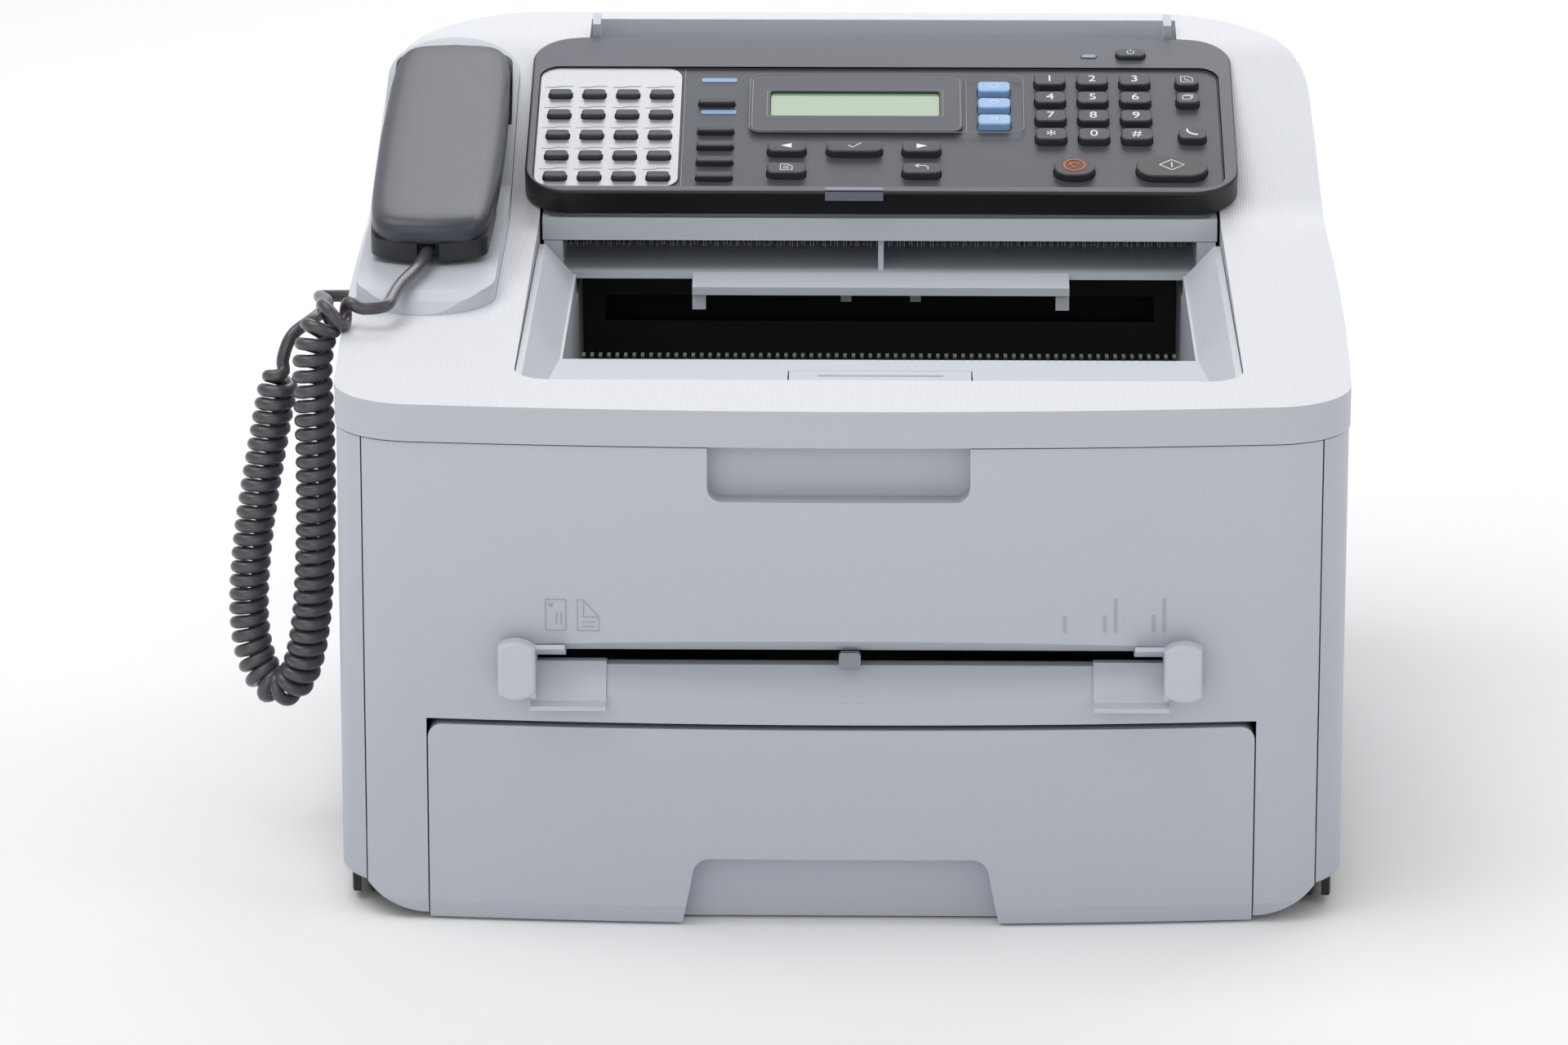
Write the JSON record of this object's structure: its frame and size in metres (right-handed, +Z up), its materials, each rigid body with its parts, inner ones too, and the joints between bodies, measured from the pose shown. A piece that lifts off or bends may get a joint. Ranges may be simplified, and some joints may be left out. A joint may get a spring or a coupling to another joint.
{
  "type": "fax machine",
  "caption": "Desktop laser fax machine with a tilted key panel, corded handset in a cradle, curly cord, front cover with bypass slot, and a paper drawer.",
  "frame": {"origin": "on the desk under the middle of the machine's box, cord left out", "axes": "+Z up, the front faces -Y, +X to the right as seen from the front"},
  "size_m": [0.3986, 0.3852, 0.2463],
  "materials": {
    "case_grey": "satin",
    "cover_white": "satin",
    "frame_black": "matte",
    "rubber_black": "matte",
    "steel": "satin",
    "roller_coat": "gloss",
    "board_green": "satin",
    "panel_dark": "satin",
    "faceplate_dark": "satin",
    "lcd": "gloss",
    "key_black": "satin",
    "key_blue": "gloss",
    "lens_grey": "gloss",
    "handset_dark": "satin",
    "hook_black": "satin",
    "cord": "gloss"
  },
  "bodies": {
    "machine": {"base_frame": "frame_black", "left_side_cover": "case_grey", "right_side_cover": "case_grey", "rear_cover": "case_grey", "top_cover": "cover_white", "handset_cradle": "case_grey", "output_tray": "case_grey", "exit_guide": "frame_black", "feeder_frame": "case_grey", "document_exit": "case_grey", "laser_unit": "frame_black", "main_board": "board_green", "power_supply": "steel", "fuser_unit": "frame_black", "toner_cartridge": "frame_black", "rubber_feet": "rubber_black", "cord_socket": "frame_black", "handset_cord_lead": "cord", "handset_cord_coil": "cord", "handset_cord_tail": "cord"},
    "front_door": {"front_cover": "case_grey"},
    "bypass_left": {"bypass_guide_left": "case_grey"},
    "bypass_right": {"bypass_guide_right": "case_grey"},
    "cassette": {"paper_cassette": "case_grey"},
    "lifter": {"lift_plate": "steel"},
    "stack_left": {"cassette_guide_left": "frame_black"},
    "stack_right": {"cassette_guide_right": "frame_black"},
    "panel": {"panel_shell": "panel_dark", "panel_faceplate": "faceplate_dark", "display_window": "lcd", "status_lens": "lens_grey"},
    "page_left": {"document_guide_left": "case_grey"},
    "page_right": {"document_guide_right": "case_grey"},
    "flap": {"output_flap": "case_grey"},
    "handset": {"handset_upper_shell": "handset_dark", "handset_lower_shell": "handset_dark"},
    "hook": {"hook_switch": "hook_black"},
    "pickup": {"pickup_roller": "rubber_black"},
    "heater": {"heat_roller": "roller_coat"},
    "key_1_body": {"key_1": "key_black"},
    "key_2_body": {"key_2": "key_black"},
    "key_3_body": {"key_3": "key_black"},
    "key_4_body": {"key_4": "key_black"},
    "key_5_body": {"key_5": "key_black"},
    "key_6_body": {"key_6": "key_black"},
    "key_7_body": {"key_7": "key_black"},
    "key_8_body": {"key_8": "key_black"},
    "key_9_body": {"key_9": "key_black"},
    "key_star_body": {"key_star": "key_black"},
    "key_0_body": {"key_0": "key_black"},
    "key_hash_body": {"key_hash": "key_black"},
    "start_key_body": {"start_key": "key_black"},
    "stop_key_body": {"stop_key": "key_black"},
    "power_key_body": {"power_key": "key_black"},
    "ok_key_body": {"ok_key": "key_black"},
    "menu_keys_body": {"menu_keys": "key_black"},
    "blue_keys_body": {"blue_keys": "key_blue"},
    "call_keys_body": {"call_keys": "key_black"},
    "function_keys_body": {"function_keys": "key_black"},
    "one_touch_keys_body": {"one_touch_keys": "key_black"}
  },
  "joints": [
    {"name": "front_cover_hinge", "type": "hinge", "parent": "machine", "child": "front_door", "pos_m": [0, -0.1715, 0.014], "axis": [1, 0, 0], "range_deg": [0, 85]},
    {"name": "cassette_slide", "type": "slide", "parent": "machine", "child": "cassette", "axis": [0, 1, 0], "range_m": [-0.3, 0]},
    {"name": "control_panel_hinge", "type": "hinge", "parent": "machine", "child": "panel", "pos_m": [0.013, 0.16586, 0.23972], "axis": [-1, 0, 0], "range_deg": [0, 35]},
    {"name": "handset_lift", "type": "slide", "parent": "machine", "child": "handset", "axis": [0, -0.1357, 0.9907], "range_m": [0, 0.12]},
    {"name": "output_flap_hinge", "type": "hinge", "parent": "machine", "child": "flap", "pos_m": [0, -0.1425, 0.17855], "axis": [1, 0, 0], "range_deg": [0, 100]},
    {"name": "lift_plate_hinge", "type": "hinge", "parent": "cassette", "child": "lifter", "pos_m": [0, 0.0025, 0.0145], "axis": [-1, 0, 0], "range_deg": [0, 12]},
    {"name": "bypass_guide_left_slide", "type": "slide", "parent": "front_door", "child": "bypass_left", "axis": [1, 0, 0], "range_m": [0, 0.033]},
    {"name": "bypass_guide_right_slide", "type": "slide", "parent": "front_door", "child": "bypass_right", "axis": [-1, 0, 0], "range_m": [0, 0.033]},
    {"name": "page_guide_left_slide", "type": "slide", "parent": "machine", "child": "page_left", "axis": [1, 0, 0], "range_m": [0, 0.033]},
    {"name": "page_guide_right_slide", "type": "slide", "parent": "machine", "child": "page_right", "axis": [-1, 0, 0], "range_m": [0, 0.033]},
    {"name": "stack_guide_left_slide", "type": "slide", "parent": "cassette", "child": "stack_left", "axis": [1, 0, 0], "range_m": [0, 0.033]},
    {"name": "stack_guide_right_slide", "type": "slide", "parent": "cassette", "child": "stack_right", "axis": [-1, 0, 0], "range_m": [0, 0.033]},
    {"name": "hook_switch_slide", "type": "slide", "parent": "machine", "child": "hook", "axis": [0, -0.1357, 0.9907], "range_m": [0, 0.004]},
    {"name": "pickup_roller_spin", "type": "hinge", "parent": "machine", "child": "pickup", "pos_m": [0, -0.1355, 0.076], "axis": [1, 0, 0], "continuous": true},
    {"name": "heat_roller_spin", "type": "hinge", "parent": "machine", "child": "heater", "pos_m": [0, 0.1265, 0.103], "axis": [1, 0, 0], "continuous": true},
    {"name": "start_key_press", "type": "slide", "parent": "panel", "child": "start_key_body", "axis": [0, 0.3107, -0.9505], "range_m": [0, 0.0015], "stiffness_N_per_m": 300},
    {"name": "stop_key_press", "type": "slide", "parent": "panel", "child": "stop_key_body", "axis": [0, 0.3107, -0.9505], "range_m": [0, 0.0015], "stiffness_N_per_m": 300},
    {"name": "power_key_press", "type": "slide", "parent": "panel", "child": "power_key_body", "axis": [0, 0.3107, -0.9505], "range_m": [0, 0.0015], "stiffness_N_per_m": 300},
    {"name": "ok_key_press", "type": "slide", "parent": "panel", "child": "ok_key_body", "axis": [0, 0.3107, -0.9505], "range_m": [0, 0.0015], "stiffness_N_per_m": 300},
    {"name": "menu_keys_press", "type": "slide", "parent": "panel", "child": "menu_keys_body", "axis": [0, 0.3107, -0.9505], "range_m": [0, 0.0015], "stiffness_N_per_m": 300},
    {"name": "blue_keys_press", "type": "slide", "parent": "panel", "child": "blue_keys_body", "axis": [0, 0.3107, -0.9505], "range_m": [0, 0.0015], "stiffness_N_per_m": 300},
    {"name": "call_keys_press", "type": "slide", "parent": "panel", "child": "call_keys_body", "axis": [0, 0.3107, -0.9505], "range_m": [0, 0.0015], "stiffness_N_per_m": 300},
    {"name": "function_keys_press", "type": "slide", "parent": "panel", "child": "function_keys_body", "axis": [0, 0.3107, -0.9505], "range_m": [0, 0.0015], "stiffness_N_per_m": 300},
    {"name": "one_touch_keys_press", "type": "slide", "parent": "panel", "child": "one_touch_keys_body", "axis": [0, 0.3107, -0.9505], "range_m": [0, 0.0015], "stiffness_N_per_m": 300},
    {"name": "key_1_press", "type": "slide", "parent": "panel", "child": "key_1_body", "axis": [0, 0.3107, -0.9505], "range_m": [0, 0.0015], "stiffness_N_per_m": 300},
    {"name": "key_2_press", "type": "slide", "parent": "panel", "child": "key_2_body", "axis": [0, 0.3107, -0.9505], "range_m": [0, 0.0015], "stiffness_N_per_m": 300},
    {"name": "key_3_press", "type": "slide", "parent": "panel", "child": "key_3_body", "axis": [0, 0.3107, -0.9505], "range_m": [0, 0.0015], "stiffness_N_per_m": 300},
    {"name": "key_4_press", "type": "slide", "parent": "panel", "child": "key_4_body", "axis": [0, 0.3107, -0.9505], "range_m": [0, 0.0015], "stiffness_N_per_m": 300},
    {"name": "key_5_press", "type": "slide", "parent": "panel", "child": "key_5_body", "axis": [0, 0.3107, -0.9505], "range_m": [0, 0.0015], "stiffness_N_per_m": 300},
    {"name": "key_6_press", "type": "slide", "parent": "panel", "child": "key_6_body", "axis": [0, 0.3107, -0.9505], "range_m": [0, 0.0015], "stiffness_N_per_m": 300},
    {"name": "key_7_press", "type": "slide", "parent": "panel", "child": "key_7_body", "axis": [0, 0.3107, -0.9505], "range_m": [0, 0.0015], "stiffness_N_per_m": 300},
    {"name": "key_8_press", "type": "slide", "parent": "panel", "child": "key_8_body", "axis": [0, 0.3107, -0.9505], "range_m": [0, 0.0015], "stiffness_N_per_m": 300},
    {"name": "key_9_press", "type": "slide", "parent": "panel", "child": "key_9_body", "axis": [0, 0.3107, -0.9505], "range_m": [0, 0.0015], "stiffness_N_per_m": 300},
    {"name": "key_star_press", "type": "slide", "parent": "panel", "child": "key_star_body", "axis": [0, 0.3107, -0.9505], "range_m": [0, 0.0015], "stiffness_N_per_m": 300},
    {"name": "key_0_press", "type": "slide", "parent": "panel", "child": "key_0_body", "axis": [0, 0.3107, -0.9505], "range_m": [0, 0.0015], "stiffness_N_per_m": 300},
    {"name": "key_hash_press", "type": "slide", "parent": "panel", "child": "key_hash_body", "axis": [0, 0.3107, -0.9505], "range_m": [0, 0.0015], "stiffness_N_per_m": 300}
  ],
  "couplings": [
    {"joint": "bypass_guide_right_slide", "follows": "bypass_guide_left_slide", "ratio": 1},
    {"joint": "page_guide_right_slide", "follows": "page_guide_left_slide", "ratio": 1},
    {"joint": "stack_guide_right_slide", "follows": "stack_guide_left_slide", "ratio": 1},
    {"joint": "hook_switch_slide", "follows": "handset_lift", "ratio": 0.033333}
  ]
}
